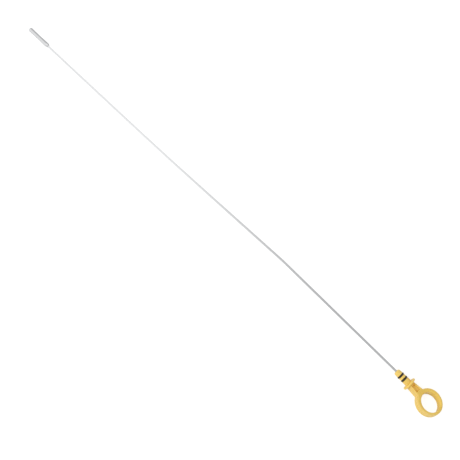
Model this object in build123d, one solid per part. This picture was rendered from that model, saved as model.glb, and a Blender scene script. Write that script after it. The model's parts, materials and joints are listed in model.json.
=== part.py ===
from build123d import *
from math import atan2, cos, degrees, radians, sin, tan
import os

# An engine oil dipstick: a moulded handle with two O-rings on its plug, and a steel wire with a coined
# gauge blade. It is drawn with its plug along X, the seat of the flange at X = 0, the finger ring at +X
# in the XY plane and the blade at -X. At the end it is laid down on Z = 0. Lengths are in millimetres.

# Flange, with its seat on the rod's side
flange_diameter = 17.6
flange_thickness = 2.5
flange_edge_radius = 0.9
flange_root_radius = 0.3

# Grip plate: stem and finger ring in one thickness, with well rounded edges
plate_thickness = 9.0
plate_edge_radius = 1.8
plate_root_radius = 1.2

# Finger ring, whose wall is thicker on the stem's side than at the far end
hole_diameter = 25.4
hole_edge_radius = 1.35
ring_near_wall = 5.35
ring_far_wall = 3.55

# Stem between flange and ring, wider towards the ring
stem_length = 13.3
stem_width_at_flange = 8.6
stem_flare = 6.8
stem_blend_radius = 0.9

# Pocket in each face of the stem
pocket_to_flange = 2.35
pocket_to_ring = 1.7
pocket_wall = 1.25
pocket_depth = 3.2
pocket_corner_radius = 0.8
pocket_draft = 4

# Plug: a rounded nose, a land between the O-rings and a collar that guides it in the tube
plug_length = 20.2
nose_diameter = 7.9
nose_edge_radius = 2.1
land_diameter = 8.7
collar_diameter = 9.1

# O-rings and their grooves
o_ring_section = 2.2
o_ring_outer_diameter = 9.5
front_o_ring_to_seat = 12.9
rear_o_ring_to_seat = 7.35
groove_width = 2.7
fit_gap = 0.02

# Wire: three straight runs, with a kink towards -Y and a long bend partly back
rod_diameter = 2.9
rod_first_run = 206.0
rod_second_run = 199.0
rod_third_run = 172.0
rod_kink = 2.9
rod_back_bend = 1.65
rod_kink_radius = 250.0
rod_back_bend_radius = 4800.0

# Gauge blade, coined with crowned faces, and turned to lie flat when the dipstick is laid down
blade_length = 31.4
blade_tip_width = 4.9
blade_waist_width = 4.5
blade_shoulder_width = 5.0
blade_shoulder_length = 4.2
blade_thickness = 1.7
blade_crown_radius = 8.0
blade_edge_radius = 0.4
blade_ramp_start = 2.2
blade_ramp_length = 3.6
blade_turn = 19.4

# Flat anchor on the wire's hidden end
anchor_length = 5.0
anchor_width = 3.8
anchor_thickness = 1.6
anchor_to_seat = 1.2

# Repeats of the settling steps that lay the dipstick down
settling_steps = 8

# Sizes that follow from these
ring_diameter = ring_near_wall + hole_diameter + ring_far_wall
seat_to_ring = flange_thickness + stem_length + ring_diameter / 2
seat_to_hole = flange_thickness + stem_length + ring_near_wall + hole_diameter / 2


def turned_body():
    """Plug and flange, turned about the X axis."""
    nose_x = -plug_length
    land_x = -front_o_ring_to_seat
    collar_x = -rear_o_ring_to_seat
    flange_radius = flange_diameter / 2
    outline = make_face(
        Polyline(
            (nose_x, 0),
            (nose_x, nose_diameter / 2),
            (land_x, land_diameter / 2),
            (collar_x, land_diameter / 2),
            (collar_x, collar_diameter / 2),
            (0, collar_diameter / 2),
            (0, flange_radius),
            (flange_thickness, flange_radius),
            (flange_thickness, 0),
            close=True,
        )
    )
    by_radius = outline.vertices().sort_by(Axis.Y)
    outline = fillet(by_radius[-2:], flange_edge_radius)
    root = outline.vertices().sort_by_distance((0, collar_diameter / 2))[0]
    outline = fillet(root, flange_root_radius)
    nose_edge = outline.vertices().sort_by_distance((nose_x, nose_diameter / 2))[0]
    outline = fillet(nose_edge, nose_edge_radius)
    return revolve(outline, Axis.X)


def groove(distance_to_seat):
    """Ring of material cut away for one O-ring."""
    floor_radius = o_ring_outer_diameter / 2 - o_ring_section - fit_gap
    ring = Cylinder(collar_diameter, groove_width) - Cylinder(floor_radius, groove_width)
    return Pos(-distance_to_seat, 0, 0) * Rot(0, 90, 0) * ring


def stem_plan(start_x, end_x, inset):
    """Part of the stem's outline, drawn in from its sides by inset."""
    flare = tan(radians(stem_flare))
    flange_half = stem_width_at_flange / 2 - inset
    start_half = flange_half + (start_x - flange_thickness) * flare
    end_half = flange_half + (end_x - flange_thickness) * flare
    return make_face(
        Polyline(
            (start_x, -start_half),
            (end_x, -end_half),
            (end_x, end_half),
            (start_x, start_half),
            close=True,
        )
    )


def grip_plan():
    """Outline of stem and ring without the finger hole, from inside the flange."""
    outline = stem_plan(flange_thickness / 2, seat_to_ring, 0)
    outline += Pos(seat_to_ring, 0) * Circle(ring_diameter / 2)
    inner_corners = [v for v in outline.vertices() if flange_thickness < v.X < seat_to_ring]
    return fillet(inner_corners, stem_blend_radius)


def pocket():
    """Drafted pocket in the upper face of the stem, with sides that follow the stem's."""
    start_x = flange_thickness + pocket_to_flange
    end_x = flange_thickness + stem_length - pocket_to_ring
    mouth = stem_plan(start_x, end_x, pocket_wall)
    mouth = Pos(0, 0, plate_thickness / 2) * fillet(mouth.vertices(), pocket_corner_radius)
    return extrude(mouth, amount=pocket_depth, dir=(0, 0, -1), taper=pocket_draft)


def grip():
    """Stem and finger ring, with rounded edges and a pocket in each face of the stem."""
    plate = extrude(grip_plan(), amount=plate_thickness / 2, both=True)
    levels = plate.edges().group_by(Axis.Z)
    rims = [e for e in levels[0] + levels[-1] if e.center().X > flange_thickness]
    plate = fillet(rims, min(plate_edge_radius, ring_far_wall * 0.53))
    hole_radius = hole_diameter / 2
    plate -= Pos(seat_to_hole, 0, 0) * Cylinder(hole_radius, plate_thickness)
    circles = plate.edges().filter_by(GeomType.CIRCLE)
    hole_rims = [e for e in circles if abs(e.radius - hole_radius) < 0.001]
    plate = fillet(hole_rims, min(hole_edge_radius, ring_far_wall * 0.4))
    return plate - pocket() - mirror(pocket(), Plane.XY)


def anchor(gap):
    """Flat end of the wire inside the handle, grown by gap on every side."""
    length = anchor_length + 2 * gap
    plan = RectangleRounded(length, anchor_width + 2 * gap, anchor_width / 4)
    flat = extrude(plan, amount=anchor_thickness / 2 + gap, both=True)
    return Pos(-anchor_to_seat - anchor_length / 2, 0, 0) * flat


def rod_corners():
    """Corners of the wire's centre line, from its anchor to the shoulder of the blade."""
    start = Vector(-anchor_to_seat - anchor_length, 0, 0)
    kink = Vector(-rod_first_run, 0, 0)
    second_angle = radians(rod_kink)
    back_bend = kink - Vector(cos(second_angle), sin(second_angle), 0) * rod_second_run
    third_angle = radians(rod_kink - rod_back_bend)
    shoulder = back_bend - Vector(cos(third_angle), sin(third_angle), 0) * rod_third_run
    return [start, kink, back_bend, shoulder]


def blade():
    """Coined gauge blade along -X, with its shoulder at the origin and one face towards +Z."""
    tip_radius = blade_tip_width / 2
    tip_x = tip_radius - blade_length
    shoulder_x = -blade_shoulder_length
    waist_x = (shoulder_x + tip_x) / 2
    waist_half = blade_waist_width / 2
    shoulder = EllipticalCenterArc(
        (shoulder_x, 0), blade_shoulder_length, blade_shoulder_width / 2, -90, arc_size=180
    )
    tip = CenterArc((tip_x, 0), tip_radius, 90, 180)
    upper = Spline(shoulder @ 1, (waist_x, waist_half), tip @ 0, tangents=((-1, 0), (-1, 0)))
    lower = Spline(tip @ 1, (waist_x, -waist_half), shoulder @ 0, tangents=((1, 0), (1, 0)))
    outline = make_face([shoulder, upper, tip, lower])
    strip = extrude(outline, amount=blade_thickness / 2, both=True)
    crown = Rot(0, 90, 0) * Cylinder(blade_crown_radius, 3 * blade_length)
    crown_z = blade_crown_radius - blade_thickness / 2
    strip = strip & (Pos(0, 0, -crown_z) * crown) & (Pos(0, 0, crown_z) * crown)
    rims = [e for e in strip.edges() if abs(e.tangent_at(0.5).Z) < 0.5]
    return fillet(rims, blade_edge_radius) + ramp()


def ramp():
    """Wire running into the blade, hollowed down to the blade's thickness on both faces."""
    half_rod = rod_diameter / 2
    buried_half = blade_thickness * 0.42
    start_x = -blade_ramp_start
    end_x = start_x - blade_ramp_length
    top = Line((0, half_rod), (start_x, half_rod))
    top_hollow = TangentArc((end_x, buried_half), (start_x, half_rod), tangent=(1, 0))
    end = Line((end_x, buried_half), (end_x, -buried_half))
    bottom_hollow = TangentArc((end_x, -buried_half), (start_x, -half_rod), tangent=(1, 0))
    bottom = Line((start_x, -half_rod), (0, -half_rod))
    front = Line((0, -half_rod), (0, half_rod))
    side = make_face([top, top_hollow, end, bottom_hollow, bottom, front])
    die_gap = extrude(Plane.XZ * side, amount=rod_diameter, both=True)
    wire = Pos(end_x / 2, 0, 0) * Rot(0, 90, 0) * Cylinder(half_rod, -end_x)
    return wire & die_gap


def rod():
    """The whole wire: anchor, bent round run and gauge blade."""
    corners = rod_corners()
    path = FilletPolyline(*corners, radius=[rod_kink_radius, rod_back_bend_radius])
    section = Plane(corners[0], z_dir=(-1, 0, 0)) * Circle(rod_diameter / 2)
    wire = sweep(section, path=path)
    along = corners[2] - corners[3]
    heading = degrees(atan2(along.Y, along.X))
    tip = Pos(*corners[3]) * Rot(0, 0, heading) * Rot(blade_turn, 0, 0) * blade()
    return wire + tip + anchor(0)


def o_ring(distance_to_seat):
    """One O-ring, stretched over the floor of its groove."""
    middle_radius = (o_ring_outer_diameter - o_ring_section) / 2
    return Pos(-distance_to_seat, 0, 0) * Rot(0, 90, 0) * Torus(middle_radius, o_ring_section / 2)


def handle(plug, plate):
    """The whole moulding, with its grooves and the hole that holds the wire."""
    body = plug + plate
    root = [
        e
        for e in body.edges().filter_by_position(Axis.X, flange_thickness - 0.01, flange_thickness + 0.01)
        if e.length < flange_diameter
    ]
    body = fillet(root, plate_root_radius)
    for distance in (front_o_ring_to_seat, rear_o_ring_to_seat):
        body -= groove(distance)
    hole_length = plug_length - anchor_to_seat - anchor_length + fit_gap
    hole = Cylinder(rod_diameter / 2 + fit_gap, hole_length)
    body -= Pos(-plug_length + hole_length / 2, 0, 0) * Rot(0, 90, 0) * hole
    return body - anchor(fit_gap)


def lowest(shape, roll, pitch):
    """Height of the lowest point of a shape that is rolled about X, then pitched about Y."""
    return (Rot(0, pitch, 0) * Rot(roll, 0, 0) * shape).bounding_box().min.Z


def resting_turn(plug, plate, wire):
    """Turn that brings flange, ring and rod down onto one level, the ring leaning to +Y."""
    roll = -blade_turn
    pitch = 0.0
    blade_arm = rod_first_run + rod_second_run + rod_third_run
    for _ in range(settling_steps):
        flange_z = lowest(plug, roll, pitch)
        roll -= degrees((lowest(plate, roll, pitch) - flange_z) / (ring_diameter / 2))
        pitch -= degrees((lowest(wire, roll, pitch) - flange_z) / blade_arm)
    return Rot(0, pitch, 0) * Rot(roll, 0, 0)


plug_and_flange = turned_body()
ring_and_stem = grip()
pieces = {
    "handle": handle(plug_and_flange, ring_and_stem),
    "front_o_ring": o_ring(front_o_ring_to_seat),
    "rear_o_ring": o_ring(rear_o_ring_to_seat),
    "rod": rod(),
}
turn = resting_turn(plug_and_flange, ring_and_stem, pieces["rod"])
box = Compound([turn * piece for piece in pieces.values()]).bounding_box()
lying = Pos(-box.center().X, -box.center().Y, -box.min.Z) * turn

os.makedirs("parts", exist_ok=True)
for name, piece in pieces.items():
    export_step(lying * piece, f"parts/{name}.step")
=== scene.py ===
"""Looks of an engine oil dipstick that lies on a pale floor.

The moulded handle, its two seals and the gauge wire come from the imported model. This script gives
each of them its finish, adds the fine marks that their moulds leave, and sets up the studio and
the camera.
"""

import copy
import json
import logging
import math
from dataclasses import dataclass
from enum import Enum

import bpy
from mathutils import Color, Matrix, Vector


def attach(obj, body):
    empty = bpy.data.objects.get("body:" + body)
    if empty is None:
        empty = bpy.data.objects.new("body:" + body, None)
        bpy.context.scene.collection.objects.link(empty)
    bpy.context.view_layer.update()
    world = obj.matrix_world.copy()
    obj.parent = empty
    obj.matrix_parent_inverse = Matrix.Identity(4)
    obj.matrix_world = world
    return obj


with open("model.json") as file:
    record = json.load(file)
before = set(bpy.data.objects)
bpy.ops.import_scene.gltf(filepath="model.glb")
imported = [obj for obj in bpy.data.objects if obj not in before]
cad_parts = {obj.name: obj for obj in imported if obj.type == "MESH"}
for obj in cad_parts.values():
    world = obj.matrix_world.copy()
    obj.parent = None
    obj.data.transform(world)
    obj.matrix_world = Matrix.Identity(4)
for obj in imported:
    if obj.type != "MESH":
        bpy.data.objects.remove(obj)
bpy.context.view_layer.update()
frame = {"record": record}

LOG = logging.getLogger("dipstick")

MM = 0.001
WELD = 0.001 * MM
SMOOTH_ANGLE = math.radians(35.0)
ROUND_SEGMENTS = 2
CLOUD_DETAIL = 3.0
GRAIN_DETAIL = 2.0
WHITE = (1.0, 1.0, 1.0, 1.0)

# Seat of the flange, along the handle from the middle of the finger hole
FLANGE_SEAT = -33.85 * MM

# Sockets of a Mix node that mixes colours
MIX_FACTOR = 0
MIX_FIRST = 6
MIX_SECOND = 7
MIX_RESULT = 2

Colour = tuple[float, float, float]
Socket = bpy.types.NodeSocket


class Node(Enum):
    """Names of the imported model's nodes."""

    HANDLE = "handle"
    FRONT_SEAL = "front_o_ring"
    REAR_SEAL = "rear_o_ring"
    WIRE = "rod"


class Slot(Enum):
    """Names of the record's slots that the added marks take their finish from."""

    PLASTIC = "moulded_plastic"
    RUBBER = "seal_rubber"


@dataclass(frozen=True)
class Tone:
    """A colour as seen on a screen, and the deeper one that clouds it."""

    pale: Colour
    deep: Colour


@dataclass(frozen=True)
class Fade:
    """A soft step from 0 at its start to 1 at its end, where the end may be the lower value."""

    start: float
    end: float

    @classmethod
    def mm(cls, start: float, end: float) -> "Fade":
        """Give a fade between two places in millimetres."""
        return cls(start * MM, end * MM)


WHOLE = Fade(0.0, 1.0)
NOISE_MIDDLE = Fade(0.3, 0.7)

# Painted shade: a deeper amber that stands for the shade and warm inter-reflection in corners
AMBER_SHADE = Tone((0.915, 0.692, 0.150), (0.890, 0.657, 0.105))


def linear(colour: Colour) -> tuple[float, float, float, float]:
    """Turn a colour as seen on a screen into the renderer's linear colour, with an alpha of 1."""
    return (*Color(colour).from_srgb_to_scene_linear(), 1.0)


@dataclass(frozen=True)
class HandleAxes:
    """Axes of the handle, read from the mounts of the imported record.

    The origin is the middle of the finger hole, along points from the blade to the ring and
    normal stands on the ring.
    """

    origin: Vector
    along: Vector
    across: Vector
    normal: Vector

    @classmethod
    def from_record(cls) -> "HandleAxes":
        """Read the axes from the record's mounts.

        Returns:
            The handle's axes in the scene.
        """
        mounts = {mount["name"]: mount for mount in frame["record"]["mounts"]}
        along = -Vector(mounts["tube_plug"]["axis"]).normalized()
        normal = Vector(mounts["finger_hole"]["axis"])
        normal = (normal - along * normal.dot(along)).normalized()
        return cls(Vector(mounts["finger_hole"]["pos_m"]), along, normal.cross(along), normal)

    def turn(self) -> Matrix:
        """Give the turn from the handle's axes to the scene's."""
        return Matrix((self.along, self.across, self.normal)).transposed().to_4x4()

    def matrix(self) -> Matrix:
        """Give the transform from the handle's axes to the scene."""
        return Matrix.Translation(self.origin) @ self.turn()


class NodeGraph:
    """A node tree, built one node at a time."""

    def __init__(self, owner: bpy.types.Material | bpy.types.World, shader: str) -> None:
        """Start from the nodes that a material or a world comes with.

        Args:
            owner: The material or the world.
            shader: Name of its shader node.
        """
        owner.use_nodes = True
        self.tree = owner.node_tree
        self.shader = self.tree.nodes[shader]

    def add(self, kind: str, values: dict | None = None, **settings: str) -> bpy.types.Node:
        """Add one node.

        Args:
            kind: Blender's name of the node's type.
            values: Default values of its inputs, by socket name or number.
            settings: Properties of the node.

        Returns:
            The new node.
        """
        node = self.tree.nodes.new(kind)
        for key, value in settings.items():
            setattr(node, key, value)
        for key, value in (values or {}).items():
            node.inputs[key].default_value = value
        return node

    def link(self, source: Socket, target: Socket) -> None:
        """Join an output socket to an input socket."""
        self.tree.links.new(source, target)

    def set_shader(self, values: dict) -> None:
        """Set sockets of the shader to what is the same all over, by their names."""
        for key, value in values.items():
            self.shader.inputs[key].default_value = value

    def link_shader(self, sources: dict[str, Socket]) -> None:
        """Join what varies to sockets of the shader, by their names."""
        for key, source in sources.items():
            self.link(source, self.shader.inputs[key])

    def mapped(self, place: Socket, values: dict) -> Socket:
        """Move, turn or stretch coordinates.

        Args:
            place: The coordinates.
            values: Location, Rotation or Scale of the Mapping node.

        Returns:
            The socket with the new coordinates.
        """
        mapping = self.add("ShaderNodeMapping", values)
        self.link(place, mapping.inputs["Vector"])
        return mapping.outputs["Vector"]

    def coordinates(self, turn: Matrix | None = None, stretch: Vector | None = None) -> Socket:
        """Give object coordinates in metres, turned and stretched for a pattern.

        Args:
            turn: Transform from the pattern's axes to the scene, if they differ.
            stretch: Scale of the pattern along its axes, if it isn't even.

        Returns:
            The socket with the coordinates.
        """
        place = self.add("ShaderNodeTexCoord").outputs["Object"]
        if turn is not None:
            back = turn.inverted()
            place = self.mapped(place, {
                "Location": back.to_translation(),
                "Rotation": back.to_euler(),
            })
        if stretch is not None:
            place = self.mapped(place, {"Scale": stretch})
        return place

    def noise(self, place: Socket, scale: float, detail: float) -> Socket:
        """Add a noise texture.

        Args:
            place: Coordinates that it reads.
            scale: Features in a unit of those coordinates.
            detail: Octaves of finer noise.

        Returns:
            The socket with the noise, from 0 to 1.
        """
        texture = self.add("ShaderNodeTexNoise", {"Scale": scale, "Detail": detail})
        self.link(place, texture.inputs["Vector"])
        return texture.outputs["Fac"]

    def spread(self, source: Socket, low: float, high: float, over: Fade = NOISE_MIDDLE) -> Socket:
        """Map a part of a value's range, such as the middle of a noise, onto other values.

        Args:
            source: The value.
            low: New value at the start of the part.
            high: New value at its end.
            over: The part of the range.

        Returns:
            The socket with the new value.
        """
        remap = self.add("ShaderNodeMapRange", {
            "From Min": over.start,
            "From Max": over.end,
            "To Min": low,
            "To Max": high,
        })
        self.link(source, remap.inputs["Value"])
        return remap.outputs["Result"]

    def soft_step(self, source: Socket, fade: Fade) -> Socket:
        """Give a soft step from 0 to 1 by a value.

        Args:
            source: The value.
            fade: Where the step leaves 0 and where it reaches 1.

        Returns:
            The socket with the step.
        """
        step = self.add("ShaderNodeMapRange", {
            "From Min": fade.start,
            "From Max": fade.end,
        }, interpolation_type="SMOOTHSTEP")
        self.link(source, step.inputs["Value"])
        return step.outputs["Result"]

    def parts_of(self, vector: Socket) -> list[Socket]:
        """Give the sockets with a vector's three parts.

        Args:
            vector: Socket with the vector.

        Returns:
            The sockets with its X, Y and Z.
        """
        axes = self.add("ShaderNodeSeparateXYZ")
        self.link(vector, axes.inputs[0])
        return list(axes.outputs)

    def normal_along(self, direction: Vector) -> Socket:
        """Give the part of the surface's normal along a direction of the scene.

        Args:
            direction: The direction, of length 1.

        Returns:
            The socket with that part, from -1 to 1.
        """
        dot = self.add("ShaderNodeVectorMath", {1: direction}, operation="DOT_PRODUCT")
        self.link(self.add("ShaderNodeNewGeometry").outputs["Normal"], dot.inputs[0])
        return dot.outputs["Value"]

    def math(self, operation: str, *terms: Socket | float) -> Socket:
        """Join values by arithmetic.

        Args:
            operation: Blender's name of the operation.
            terms: Its sockets or numbers, in order.

        Returns:
            The socket with the result.
        """
        node = self.add("ShaderNodeMath", operation=operation)
        for place, term in enumerate(terms):
            if isinstance(term, (int, float)):
                node.inputs[place].default_value = term
            else:
                self.link(term, node.inputs[place])
        return node.outputs[0]

    def product(self, first: Socket, *others: Socket | float) -> Socket:
        """Multiply masks and shares.

        Args:
            first: The first mask.
            others: More masks, or numbers.

        Returns:
            The socket with their product.
        """
        for other in others:
            first = self.math("MULTIPLY", first, other)
        return first

    def blend(self, cloud: Socket, tone: Tone) -> Socket:
        """Cloud a colour by a noise.

        Args:
            cloud: Noise from 0 to 1.
            tone: The colour, deep where the noise is low and pale where it is high.

        Returns:
            The socket with the colour.
        """
        mix = self.add("ShaderNodeMix", {
            MIX_FIRST: linear(tone.deep),
            MIX_SECOND: linear(tone.pale),
        }, data_type="RGBA")
        self.link(self.spread(cloud, 0.0, 1.0), mix.inputs[MIX_FACTOR])
        return mix.outputs[MIX_RESULT]

    def turn_into(self, factor: Socket, first: Socket, second: Socket) -> Socket:
        """Go over from one colour to another.

        Args:
            factor: 0 for the first colour and 1 for the second.
            first: Socket with the first colour.
            second: Socket with the second colour.

        Returns:
            The socket with the colour.
        """
        mix = self.add("ShaderNodeMix", data_type="RGBA")
        self.link(factor, mix.inputs[MIX_FACTOR])
        self.link(first, mix.inputs[MIX_FIRST])
        self.link(second, mix.inputs[MIX_SECOND])
        return mix.outputs[MIX_RESULT]

    def bump(self, height: Socket, depth: float) -> Socket:
        """Turn a height into a shading normal.

        Args:
            height: Height from 0 to 1.
            depth: Height of 1 in metres.

        Returns:
            The socket with the normal.
        """
        node = self.add("ShaderNodeBump", {"Strength": 1.0, "Distance": depth})
        self.link(height, node.inputs["Height"])
        return node.outputs["Normal"]

    def seen_directly(self) -> Socket:
        """Tell rays that see a surface from rays that only gather its light.

        Returns:
            The socket with 1 for rays from the camera, from gloss and through glass, else 0.
        """
        path = self.add("ShaderNodeLightPath").outputs
        either = self.math("MAXIMUM", path["Is Camera Ray"], path["Is Glossy Ray"])
        return self.math("MAXIMUM", either, path["Is Transmission Ray"])


class MaterialGraph(NodeGraph):
    """A material's node tree, whose shader is a Principled BSDF."""

    def __init__(self, name: str) -> None:
        """Start a new material.

        Args:
            name: Name of the material.
        """
        self.material = bpy.data.materials.new(name)
        super().__init__(self.material, "Principled BSDF")


class HandleCoat:
    """Colour of the handle, painted tone by tone over masks.

    The masks are made from places along, across and off the middle plane of the grip, from the
    middle of the finger hole. Across grows towards the far side.
    """

    def __init__(self, graph: NodeGraph, axes: HandleAxes, cloud: Socket, tone: Tone) -> None:
        """Start with one tone all over.

        Args:
            graph: The plastic's node tree.
            axes: The handle's axes.
            cloud: Noise that clouds each tone.
            tone: The first tone.
        """
        self.graph = graph
        self.cloud = cloud
        self.along, self.across, self.off = graph.parts_of(graph.coordinates(axes.matrix()))
        facing_along = graph.normal_along(axes.along)
        self.end_on = graph.math("ABSOLUTE", facing_along)
        self.height = graph.math("ABSOLUTE", self.off)
        self.from_seat = graph.math("SUBTRACT", self.along, FLANGE_SEAT)
        self.outward = graph.product(self.across, graph.normal_along(axes.across))
        self.from_hole = graph.math("MULTIPLY_ADD", self.along, facing_along, self.outward)
        self.colour = graph.blend(cloud, tone)

    def another(self, tone: Tone) -> "HandleCoat":
        """Start another coat, which can be laid over this one when it is painted.

        Args:
            tone: Its first tone.

        Returns:
            The other coat.
        """
        other = copy.copy(self)
        other.colour = self.graph.blend(self.cloud, tone)
        return other

    def lay(self, colour: Socket, *masks: Socket | float) -> None:
        """Lay a colour over what is there, by the product of some masks and shares."""
        self.colour = self.graph.turn_into(self.graph.product(*masks), self.colour, colour)

    def paint(self, tone: Tone, *masks: Socket | float) -> None:
        """Paint a tone over what is there, by the product of some masks and shares."""
        self.lay(self.graph.blend(self.cloud, tone), *masks)


@dataclass(frozen=True)
class OutsideLightAndShade:
    """Painted light and shade on the outside of the handle.

    On the near side the outer walls are painted paler as if lit, the plug is painted pale as if lit
    and the land between its seals is painted lighter. The flange's rim carries a painted highlight
    all round, the collar carries painted amber shade on its far side, and the inside of the finger
    ring is painted darker as shade, most of all below. Plug, rim, collar and land are measured
    from the flange's seat.
    """

    # Painted light: paler tones where the near side is lit, and a painted highlight on the rim
    lit_near_walls: Tone = Tone((0.885, 0.760, 0.415), (0.858, 0.722, 0.350))
    lit_plug: Tone = Tone((0.903, 0.778, 0.408), (0.880, 0.742, 0.345))
    rub_and_highlight: Tone = Tone((0.926, 0.792, 0.400), (0.906, 0.760, 0.345))
    # Painted shade: a darker tone inside the finger ring
    shaded_hole: Tone = Tone((0.853, 0.722, 0.315), (0.826, 0.684, 0.250))
    near_side: Fade = Fade.mm(2.5, -0.5)
    outer_wall: Fade = Fade.mm(0.2, 3.5)
    plug: Fade = Fade.mm(0.0, -1.0)
    rim_from: Fade = Fade.mm(0.0, 0.5)
    rim_to: Fade = Fade.mm(2.5, 2.0)
    rim_face: Fade = Fade(0.9, 0.6)
    collar_from: Fade = Fade.mm(-6.0, -5.5)
    collar_to: Fade = Fade.mm(0.2, -0.2)
    collar_side: Fade = Fade.mm(-1.5, 1.0)
    collar_share: float = 0.40
    land_from: Fade = Fade.mm(-11.6, -11.4)
    land_to: Fade = Fade.mm(-8.6, -8.8)
    hole_wall: Fade = Fade.mm(-7.0, -12.0)
    hole_from: Fade = Fade.mm(-16.0, -13.5)
    hole_below: Fade = Fade.mm(3.5, -1.5)

    def paint(self, coat: HandleCoat) -> None:
        """Paint light and shade onto the outside.

        Args:
            coat: The handle's coat.
        """
        step = coat.graph.soft_step
        near = step(coat.across, self.near_side)
        # Painted light: the near outer walls paler
        coat.paint(self.lit_near_walls, near, step(coat.outward, self.outer_wall))
        # Painted light: the near side of the plug paler
        coat.paint(self.lit_plug, near, step(coat.from_seat, self.plug))
        # Painted highlight: the flange's rim paler all round
        coat.paint(self.rub_and_highlight, step(coat.from_seat, self.rim_from),
                   step(coat.from_seat, self.rim_to), step(coat.end_on, self.rim_face))
        # Painted shade: the far side of the collar amber
        coat.paint(AMBER_SHADE, step(coat.from_seat, self.collar_from),
                   step(coat.from_seat, self.collar_to), step(coat.across, self.collar_side),
                   self.collar_share)
        # Painted light: the land between the seals paler on the near side
        coat.paint(self.rub_and_highlight, step(coat.from_seat, self.land_from),
                   step(coat.from_seat, self.land_to), near)
        # Painted shade: the inside of the finger ring darker, most of all below
        coat.paint(self.shaded_hole, step(coat.from_hole, self.hole_wall),
                   step(coat.along, self.hole_from), step(coat.off, self.hole_below))


@dataclass(frozen=True)
class PocketLightAndShade:
    """Painted light and shade in and around the pockets of the stem.

    The floors and the near walls are painted warm shade, amber shade towards the flange, paler
    along the far side and darkest shade in the near corners. The far walls are painted pale as if
    lit, the lips are paler, and the root of the stem, between pocket and flange, is painted amber
    shade. It is measured from the flange's seat.
    """

    start: float = -29.0 * MM
    end: float = -19.75 * MM
    half_width: float = 3.33 * MM
    flare: float = 0.119
    # Painted shade on floors and near walls, darkest in the near corners; painted light on far walls
    warm_shade: Tone = Tone((0.950, 0.775, 0.325), (0.928, 0.741, 0.268))
    nook_shade: Tone = Tone((0.835, 0.645, 0.130), (0.810, 0.610, 0.090))
    lit_wall: Tone = Tone((0.922, 0.890, 0.600), (0.902, 0.860, 0.545))
    pale_lip: Tone = Tone((0.940, 0.812, 0.415), (0.920, 0.778, 0.360))
    mouth: Fade = Fade.mm(0.1, -0.1)
    lip: Fade = Fade.mm(0.9, 0.3)
    lip_height: Fade = Fade.mm(3.5, 4.1)
    side_wall: Fade = Fade.mm(-0.5, -0.3)
    near_wall: Fade = Fade.mm(1.0, -1.0)
    end_wall: Fade = Fade.mm(-0.6, -0.3)
    floor_height: Fade = Fade.mm(2.6, 1.8)
    floor_start: Fade = Fade.mm(-2.2, -0.6)
    far_strip: Fade = Fade.mm(-2.0, -8.45)
    far_half: Fade = Fade.mm(-0.5, 2.0)
    far_share: float = 0.40
    nook_end: Fade = Fade.mm(-1.4, -0.4)
    nook_side: Fade = Fade.mm(1.0, -2.0)
    root_from: Fade = Fade.mm(2.3, 2.8)
    root_to: Fade = Fade.mm(-0.2, 0.2)
    root_side: Fade = Fade.mm(-4.2, -2.2)
    root_share: float = 0.55

    def paint(self, coat: HandleCoat) -> None:
        """Paint the pockets, their lips and the root of the stem.

        Args:
            coat: The handle's coat.
        """
        graph = coat.graph
        step = graph.soft_step
        past_start = graph.math("SUBTRACT", coat.along, self.start)
        from_start = graph.math("SUBTRACT", self.start, coat.along)
        past_end = graph.math("SUBTRACT", coat.along, self.end)
        from_ends = graph.math("MAXIMUM", from_start, past_end)
        half_width = graph.math("MULTIPLY_ADD", past_start, self.flare, self.half_width)
        from_sides = graph.math("SUBTRACT", graph.math("ABSOLUTE", coat.across), half_width)
        from_mouth = graph.math("MAXIMUM", from_sides, from_ends)
        inner = step(from_mouth, self.mouth)
        side = graph.product(inner, step(from_sides, self.side_wall))
        # Paler round the mouths of the pockets
        coat.paint(self.pale_lip, step(from_mouth, self.lip), step(coat.height, self.lip_height))
        # Painted light: the side walls pale as if lit
        coat.paint(self.lit_wall, side)
        # Painted shade: floors and near walls warm, amber towards the flange, darkest in the near
        # corners,
        floor = coat.another(self.warm_shade)
        # with painted light along the far side
        floor.paint(AMBER_SHADE, step(from_start, self.floor_start))
        floor.paint(self.lit_wall, step(from_start, self.far_strip),
                    step(coat.across, self.far_half), self.far_share)
        floor.paint(self.nook_shade, step(from_ends, self.nook_end), step(coat.across, self.nook_side))
        bottom = graph.product(inner, step(coat.height, self.floor_height))
        near_wall = graph.product(side, step(coat.across, self.near_wall))
        coat.lay(floor.colour, graph.math("MAXIMUM", bottom, near_wall))
        # Painted shade: the root of the stem amber
        coat.paint(AMBER_SHADE, step(coat.from_seat, self.root_from), step(from_start, self.root_to),
                   step(coat.across, self.root_side), self.root_share)
        # Painted shade: the end walls of the pockets amber
        coat.paint(AMBER_SHADE, inner, step(from_start, self.end_wall))


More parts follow.
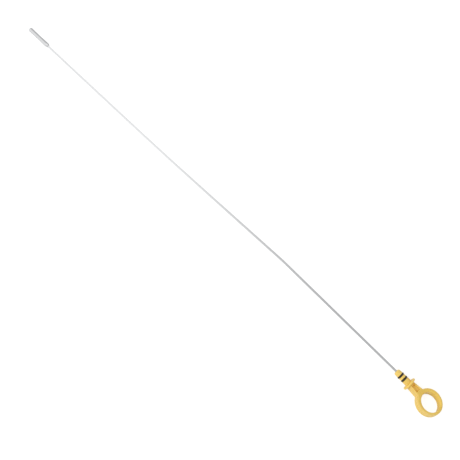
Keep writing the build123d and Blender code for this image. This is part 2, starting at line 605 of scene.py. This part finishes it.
@dataclass(frozen=True)
class MouldedPlastic:
    """Golden yellow moulded plastic with a satin skin, clouded along the flow of the melt."""

    plain: Tone = Tone((0.895, 0.757, 0.336), (0.868, 0.718, 0.270))
    outside: OutsideLightAndShade = OutsideLightAndShade()
    pockets: PocketLightAndShade = PocketLightAndShade()
    flow_stretch: Vector = Vector((0.4, 1.0, 1.0))
    cloud_scale: float = 90.0
    grain_scale: float = 2600.0
    grain_depth: float = 0.012 * MM
    smooth: float = 0.36
    dull: float = 0.48
    refraction: float = 1.55
    gloss: float = 0.60
    glow: float = 0.06
    glow_reach: Colour = (1.0, 0.6, 0.2)
    glow_depth: float = 0.9 * MM

    def material(self, axes: HandleAxes) -> bpy.types.Material:
        """Build the plastic.

        Args:
            axes: The handle's axes, along which the melt flowed.

        Returns:
            The finished material.
        """
        graph = MaterialGraph("moulded_plastic")
        flow = graph.coordinates(axes.matrix(), self.flow_stretch)
        cloud = graph.noise(flow, self.cloud_scale, CLOUD_DETAIL)
        grain = graph.noise(graph.coordinates(), self.grain_scale, GRAIN_DETAIL)
        coat = HandleCoat(graph, axes, cloud, self.plain)
        # Painted light and shade: the outside and the pockets paler where lit, deeper where shade
        # falls
        self.outside.paint(coat)
        self.pockets.paint(coat)
        graph.link_shader({
            "Base Color": coat.colour,
            "Roughness": graph.spread(grain, self.smooth, self.dull),
            "Normal": graph.bump(grain, self.grain_depth),
        })
        graph.set_shader({
            "IOR": self.refraction,
            "Specular IOR Level": self.gloss,
            "Subsurface Weight": self.glow,
            "Subsurface Radius": self.glow_reach,
            "Subsurface Scale": self.glow_depth,
        })
        return graph.material


@dataclass(frozen=True)
class SealRubber:
    """Black nitrile rubber with a faint bloom."""

    bloomed: Tone = Tone((0.10, 0.095, 0.115), (0.05, 0.045, 0.06))
    bloom_scale: float = 700.0
    skin_scale: float = 5200.0
    skin_depth: float = 0.006 * MM
    smooth: float = 0.42
    dull: float = 0.60
    refraction: float = 1.52

    def material(self) -> bpy.types.Material:
        """Build the rubber.

        Returns:
            The finished material.
        """
        graph = MaterialGraph("seal_rubber")
        place = graph.coordinates()
        bloom = graph.noise(place, self.bloom_scale, CLOUD_DETAIL)
        skin = graph.noise(place, self.skin_scale, GRAIN_DETAIL)
        graph.link_shader({
            "Base Color": graph.blend(bloom, self.bloomed),
            "Roughness": graph.spread(bloom, self.smooth, self.dull),
            "Normal": graph.bump(skin, self.skin_depth),
        })
        graph.set_shader({"IOR": self.refraction})
        return graph.material


@dataclass(frozen=True)
class DrawnSteel:
    """Drawn steel wire with fine lines along its length.

    It is grey near the handle and paler towards the blade, partly rubbed bright where it slides in
    the tube and partly painted light. Next to the blade its far side is painted lit and its near
    side painted shaded. The die has burnished the blade, all but a painted shaded band along its
    far side and a painted shaded edge on its near side, and the ramp carries a painted highlight.
    Rub, tip and coin fade along the wire in metres, and the other fades go by where the surface
    faces.
    """

    plain: Tone = Tone((0.730, 0.733, 0.740), (0.695, 0.698, 0.706))
    # Partly rubbing and partly painted light; also the painted highlight on the ramp
    rub_and_highlight: Tone = Tone((0.930, 0.933, 0.938), (0.908, 0.911, 0.917))
    # Painted light and shade on the wire next to the blade
    lit_side: Tone = Tone((0.985, 0.987, 0.990), (0.975, 0.977, 0.980))
    shaded_side: Tone = Tone((0.905, 0.908, 0.914), (0.882, 0.885, 0.892))
    burnished: Tone = Tone((0.885, 0.888, 0.893), (0.862, 0.865, 0.871))
    rub_and_light: Fade = Fade(0.19, -0.16)
    tip: Fade = Fade(-0.16, -0.29)
    coin: Fade = Fade(-0.2975, -0.2995)
    far_side: Fade = Fade(-0.25, 0.45)
    # Painted shade on the blade: a grey band on its far side and its near edge
    shaded_band: Fade = Fade(0.01, 0.13)
    shaded_edge: Fade = Fade(-0.25, -0.60)
    # Painted highlight on the ramp
    ramp_highlight: Fade = Fade(-0.10, -0.22)
    line_stretch: Vector = Vector((0.02, 1.0, 1.0))
    line_scale: float = 5000.0
    line_depth: float = 0.002 * MM
    patch_scale: float = 60.0
    smooth: float = 0.22
    dull: float = 0.31

    def material(self) -> bpy.types.Material:
        """Build the steel.

        Returns:
            The finished material.
        """
        graph = MaterialGraph("drawn_steel")
        drawn = graph.coordinates(stretch=self.line_stretch)
        lines = graph.noise(drawn, self.line_scale, GRAIN_DETAIL)
        patches = graph.noise(drawn, self.patch_scale, CLOUD_DETAIL)
        graph.link_shader({
            "Base Color": self.colour(graph, patches),
            "Roughness": graph.spread(lines, self.smooth, self.dull),
            "Normal": graph.bump(lines, self.line_depth),
        })
        graph.set_shader({"Metallic": 1.0})
        return graph.material

    def colour(self, graph: NodeGraph, patches: Socket) -> Socket:
        """Colour the steel where rubbed and coined, with painted light and shade by facing.

        Args:
            graph: The steel's node tree.
            patches: Noise that clouds each tone.

        Returns:
            The socket with the colour.
        """
        step = graph.soft_step
        length = graph.parts_of(graph.coordinates())[0]
        to_far_side = graph.normal_along(Vector((0.0, 1.0, 0.0)))
        to_handle = graph.normal_along(Vector((1.0, 0.0, 0.0)))
        plain = graph.blend(patches, self.plain)
        rub_and_highlight = graph.blend(patches, self.rub_and_highlight)
        burnished = graph.blend(patches, self.burnished)
        lit_side = graph.blend(patches, self.lit_side)
        shaded_side = graph.blend(patches, self.shaded_side)
        # Painted light and shade: far side of the wire lit, near side shaded
        tip = graph.turn_into(step(to_far_side, self.far_side), shaded_side, lit_side)
        # Paler towards the blade, partly rubbing and partly painted light
        run = graph.turn_into(step(length, self.rub_and_light), plain, rub_and_highlight)
        run = graph.turn_into(step(length, self.tip), run, tip)
        # Painted shade: a grey band along the blade's far side, then along its near edge
        blade = graph.turn_into(step(to_far_side, self.shaded_band), burnished, plain)
        blade = graph.turn_into(step(to_far_side, self.shaded_edge), blade, plain)
        # Painted highlight on the ramp
        blade = graph.turn_into(step(to_handle, self.ramp_highlight), blade, rub_and_highlight)
        return graph.turn_into(step(length, self.coin), run, blade)


def dress(node: Node, material: bpy.types.Material) -> None:
    """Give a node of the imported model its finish.

    Args:
        node: The node.
        material: Its finish.
    """
    mesh = bpy.data.objects[node.value].data
    mesh.materials.clear()
    mesh.materials.append(material)
    LOG.info("%s: %d faces in %s", node.value, len(mesh.polygons), material.name)


def add_piece(name: str, mesh: bpy.types.Mesh) -> bpy.types.Object:
    """Add a mesh to the scene as a new piece, and make it the only one that is selected.

    Args:
        name: Name of the piece.
        mesh: Its own mesh.

    Returns:
        The new piece.
    """
    bpy.ops.object.select_all(action="DESELECT")
    piece = bpy.data.objects.new(name, mesh)
    bpy.context.scene.collection.objects.link(piece)
    bpy.context.view_layer.objects.active = piece
    piece.select_set(True)
    return piece


def weld() -> None:
    """Merge the doubled points of the piece in edit mode, and leave all of it selected."""
    bpy.ops.mesh.select_all(action="SELECT")
    bpy.ops.mesh.remove_doubles(threshold=WELD)


def round_edges(piece: bpy.types.Object, width: float) -> None:
    """Round the sharp edges of a piece.

    Args:
        piece: The piece, selected and active.
        width: Width of the rounding.
    """
    bevel = piece.modifiers.new("rounded edges", "BEVEL")
    bevel.width = width
    bevel.segments = ROUND_SEGMENTS
    bpy.ops.object.modifier_apply(modifier=bevel.name)


def take_pattern(piece: bpy.types.Object) -> bpy.types.Mesh:
    """Keep a piece's mesh as a pattern for copies, and remove the piece itself.

    Args:
        piece: The piece.

    Returns:
        Its mesh.
    """
    pattern = piece.data
    bpy.data.objects.remove(piece)
    return pattern


def finish_piece(piece: bpy.types.Object, material: bpy.types.Material) -> None:
    """Smooth, dress and attach a finished piece.

    Args:
        piece: The piece, selected and active.
        material: Its finish.
    """
    bpy.ops.object.transform_apply(location=True, rotation=True, scale=True)
    bpy.ops.object.shade_smooth_by_angle(angle=SMOOTH_ANGLE)
    piece.data.materials.clear()
    piece.data.materials.append(material)
    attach(piece, "root")
    LOG.info("%s: %d faces in %s", piece.name, len(piece.data.polygons), material.name)


@dataclass
class Handle:
    """The moulded handle, with the marks that its mould leaves.

    The two halves of the mould part in the middle plane of the grip, and pins push the moulding
    out from below. The pins' places are along, across and off that plane, from the middle of the
    finger hole.
    """

    axes: HandleAxes
    finish: MouldedPlastic = MouldedPlastic()
    bead: float = 0.06 * MM
    bead_resolution: int = 1
    pin_radius: float = 1.1 * MM
    pin_corners: int = 48
    pin_height: float = 0.20 * MM
    pin_proud: float = 0.05 * MM
    pin_rim: float = 0.16 * MM
    pin_dish: float = 0.07 * MM
    pin_rounding: float = 0.02 * MM
    pin_underside: float = -0.9
    pocket_pin: Vector = Vector((-24.2, 0.0, -1.3)) * MM
    root_pin: Vector = Vector((-16.6, 0.0, -4.5)) * MM

    def build(self) -> None:
        """Dress the moulding and add its marks."""
        plastic = self.finish.material(self.axes)
        dress(Node.HANDLE, plastic)
        self.parting_line(plastic)
        self.pin_marks(plastic)

    def parting_line(self, plastic: bpy.types.Material) -> None:
        """Run a fine bead where the mould's halves met, from the flange round the ring and its hole.

        Args:
            plastic: The handle's finish.
        """
        piece = add_piece("parting_line", bpy.data.objects[Node.HANDLE.value].data.copy())
        bpy.ops.object.mode_set(mode="EDIT")
        weld()
        bpy.ops.mesh.bisect(plane_co=self.axes.origin, plane_no=self.axes.normal,
                            clear_inner=True, clear_outer=True)
        bpy.ops.mesh.select_all(action="DESELECT")
        bpy.ops.object.mode_set(mode="OBJECT")
        for corner in piece.data.vertices:
            place = (corner.co - self.axes.origin).dot(self.axes.along)
            corner.select = place < FLANGE_SEAT + self.bead
        bpy.ops.object.mode_set(mode="EDIT")
        bpy.ops.mesh.delete(type="VERT")
        bpy.ops.object.mode_set(mode="OBJECT")
        bpy.ops.object.convert(target="CURVE")
        piece.data.bevel_depth = self.bead
        piece.data.bevel_resolution = self.bead_resolution
        piece.data.use_fill_caps = True
        bpy.ops.object.convert(target="MESH")
        bpy.ops.object.mode_set(mode="EDIT")
        weld()
        bpy.ops.mesh.normals_make_consistent(inside=False)
        bpy.ops.object.mode_set(mode="OBJECT")
        finish_piece(bpy.context.object, plastic)

    def pin_marks(self, plastic: bpy.types.Material) -> None:
        """Leave the marks of two pins on the underside, in the pocket and at the root of the ring.

        Args:
            plastic: The handle's finish.
        """
        bpy.ops.object.select_all(action="DESELECT")
        bpy.ops.mesh.primitive_cylinder_add(vertices=self.pin_corners, radius=self.pin_radius,
                                            depth=self.pin_height)
        mark = bpy.context.object
        bpy.ops.object.mode_set(mode="EDIT")
        bpy.ops.mesh.select_all(action="DESELECT")
        bpy.ops.object.mode_set(mode="OBJECT")
        for face in mark.data.polygons:
            face.select = face.normal.z < self.pin_underside
        bpy.ops.object.mode_set(mode="EDIT")
        bpy.ops.mesh.inset(thickness=self.pin_rim, depth=0.0)
        dish = (0.0, 0.0, self.pin_dish)
        bpy.ops.mesh.extrude_region_move(TRANSFORM_OT_translate={"value": dish})
        bpy.ops.object.mode_set(mode="OBJECT")
        round_edges(mark, self.pin_rounding)
        pattern = take_pattern(mark)
        sunk = Matrix.Translation((0.0, 0.0, self.pin_height / 2 - self.pin_proud))
        places = {"pin_mark_pocket": self.pocket_pin, "pin_mark_root": self.root_pin}
        for name, place in places.items():
            piece = add_piece(name, pattern.copy())
            piece.data.transform(self.axes.matrix() @ Matrix.Translation(place) @ sunk)
            finish_piece(piece, plastic)


@dataclass
class Seals:
    """The two rubber seals on the plug, each with the fine flash line of its mould."""

    axes: HandleAxes
    finish: SealRubber = SealRubber()
    flash_width: float = 0.10 * MM
    flash_height: float = 0.045 * MM
    flash_rounding: float = 0.02 * MM
    flash_steps: int = 96

    def build(self) -> None:
        """Dress both seals in one rubber and add their flash lines."""
        rubber = self.finish.material()
        dress(Node.FRONT_SEAL, rubber)
        dress(Node.REAR_SEAL, rubber)
        centre, radius = self.measure(Node.FRONT_SEAL)
        pattern = self.flash(centre, radius)
        for node in (Node.FRONT_SEAL, Node.REAR_SEAL):
            piece = add_piece(f"{node.value}_flash", pattern.copy())
            piece.data.transform(Matrix.Translation(self.measure(node)[0] - centre))
            finish_piece(piece, rubber)

    def measure(self, node: Node) -> tuple[Vector, float]:
        """Find the centre of a seal and its outer radius.

        Args:
            node: The seal.

        Returns:
            Its centre and its outer radius.
        """
        corners = [corner.co.copy() for corner in bpy.data.objects[node.value].data.vertices]
        lows = Vector([min(corner[i] for corner in corners) for i in range(3)])
        highs = Vector([max(corner[i] for corner in corners) for i in range(3)])
        centre = (lows + highs) / 2
        along = self.axes.along
        arms = [corner - centre for corner in corners]
        return centre, max((arm - along * arm.dot(along)).length for arm in arms)

    def flash(self, centre: Vector, radius: float) -> bpy.types.Mesh:
        """Spin the flash line of one seal.

        Args:
            centre: Centre of the seal.
            radius: Its outer radius.

        Returns:
            The mesh of the line.
        """
        bpy.ops.object.select_all(action="DESELECT")
        bpy.ops.mesh.primitive_plane_add(size=1.0)
        line = bpy.context.object
        section = Matrix.Diagonal((self.flash_width, 2 * self.flash_height, 1.0)).to_4x4()
        place = Matrix.Translation(centre + self.axes.across * radius)
        line.data.transform(place @ self.axes.turn() @ section)
        bpy.ops.object.mode_set(mode="EDIT")
        bpy.ops.mesh.select_all(action="SELECT")
        bpy.ops.mesh.delete(type="ONLY_FACE")
        bpy.ops.mesh.select_all(action="SELECT")
        bpy.ops.mesh.spin(steps=self.flash_steps, angle=2 * math.pi, center=centre,
                          axis=self.axes.along)
        weld()
        bpy.ops.mesh.normals_make_consistent(inside=False)
        bpy.ops.object.mode_set(mode="OBJECT")
        round_edges(line, self.flash_rounding)
        return take_pattern(line)


@dataclass
class GaugeWire:
    """The steel wire with its coined blade."""

    finish: DrawnSteel = DrawnSteel()

    def build(self) -> None:
        """Dress the wire."""
        dress(Node.WIRE, self.finish.material())


@dataclass(frozen=True)
class Softbox:
    """A rectangular lamp that is hung over the dipstick and isn't seen itself.

    It shines straight down until it is tilted about X and swung about Z, both in degrees.
    """

    name: str
    place: Vector
    width: float
    depth: float
    tilt: float
    swing: float
    power: float

    def build(self) -> None:
        """Add the lamp."""
        lamp = bpy.data.lights.new(self.name, "AREA")
        lamp.shape = "RECTANGLE"
        lamp.size = self.width
        lamp.size_y = self.depth
        lamp.energy = self.power
        lamp_object = bpy.data.objects.new(self.name, lamp)
        lamp_object.location = self.place
        lamp_object.rotation_euler = (math.radians(self.tilt), 0.0, math.radians(self.swing))
        lamp_object.visible_camera = False
        lamp_object.visible_glossy = False
        bpy.context.scene.collection.objects.link(lamp_object)


@dataclass
class Studio:
    """Pale floor, soft light and the camera of the photograph."""

    floor_side: float = 8.0
    floor_roughness: float = 0.9
    floor_tone: float = 0.86
    floor_seen_tone: float = 0.40
    floor_lift: float = 0.74
    sky: float = 0.78
    back: Fade = Fade(0.3, 0.8)
    back_tone: float = 0.80
    key: Softbox = Softbox("key", place=Vector((-0.80, -1.40, 1.60)), width=1.4, depth=1.4,
                           tilt=48.2, swing=-37.7, power=26.0)
    camera_place: Vector = Vector((-36.321, -553.877, 1925.730)) * MM
    camera_target: Vector = Vector((3.418, -16.857, -0.414)) * MM
    camera_roll: float = 48.602
    camera_view: float = 15.369
    camera_reach: float = 20.0

    def build(self) -> None:
        """Set up the floor, the light and the camera."""
        self.floor()
        self.world()
        self.key.build()
        self.camera()
        bpy.context.scene.view_settings.view_transform = "Standard"

    def floor(self) -> None:
        """Lay a matt white floor that reads as the white ground of the photograph."""
        bpy.ops.object.select_all(action="DESELECT")
        bpy.ops.mesh.primitive_plane_add(size=self.floor_side)
        ground = bpy.context.object
        ground.name = "floor"
        graph = MaterialGraph("white_floor")
        seen = graph.seen_directly()
        graph.link_shader({
            "Base Color": graph.spread(seen, self.floor_tone, self.floor_seen_tone, WHOLE),
            "Emission Strength": graph.spread(seen, 0.0, self.floor_lift, WHOLE),
        })
        graph.set_shader({
            "Roughness": self.floor_roughness,
            "Specular IOR Level": 0.0,
            "Emission Color": WHITE,
        })
        ground.data.materials.append(graph.material)

    def world(self) -> None:
        """Light everything from a soft sky, white where seen and shaded at the back in gloss."""
        world = bpy.data.worlds.new("studio")
        bpy.context.scene.world = world
        graph = NodeGraph(world, "Background")
        to_back = graph.parts_of(graph.add("ShaderNodeTexCoord").outputs["Generated"])[1]
        in_gloss = graph.add("ShaderNodeLightPath").outputs["Is Glossy Ray"]
        at_back = graph.soft_step(to_back, self.back)
        shade = graph.product(in_gloss, at_back, 1.0 - self.back_tone)
        bright = graph.spread(graph.seen_directly(), self.sky, 1.0, WHOLE)
        graph.link_shader({"Strength": graph.math("SUBTRACT", bright, shade)})
        graph.set_shader({"Color": WHITE})

    def camera(self) -> None:
        """Place the camera where the photograph was taken from."""
        lens = bpy.data.cameras.new("camera")
        lens.sensor_fit = "HORIZONTAL"
        lens.angle = math.radians(self.camera_view)
        lens.clip_end = self.camera_reach
        eye = bpy.data.objects.new("camera", lens)
        sight = self.camera_target - self.camera_place
        look = sight.to_track_quat("-Z", "Y").to_matrix().to_4x4()
        roll = Matrix.Rotation(math.radians(self.camera_roll), 4, "Z")
        eye.matrix_world = Matrix.Translation(self.camera_place) @ look @ roll
        bpy.context.scene.collection.objects.link(eye)
        bpy.context.scene.camera = eye


def main() -> None:
    """Build the dipstick's finishes and its studio."""
    logging.basicConfig(level=logging.INFO, format="%(name)s %(message)s")
    axes = HandleAxes.from_record()
    Handle(axes).build()
    Seals(axes).build()
    GaugeWire().build()
    Studio().build()


if __name__ == "__main__":
    main()
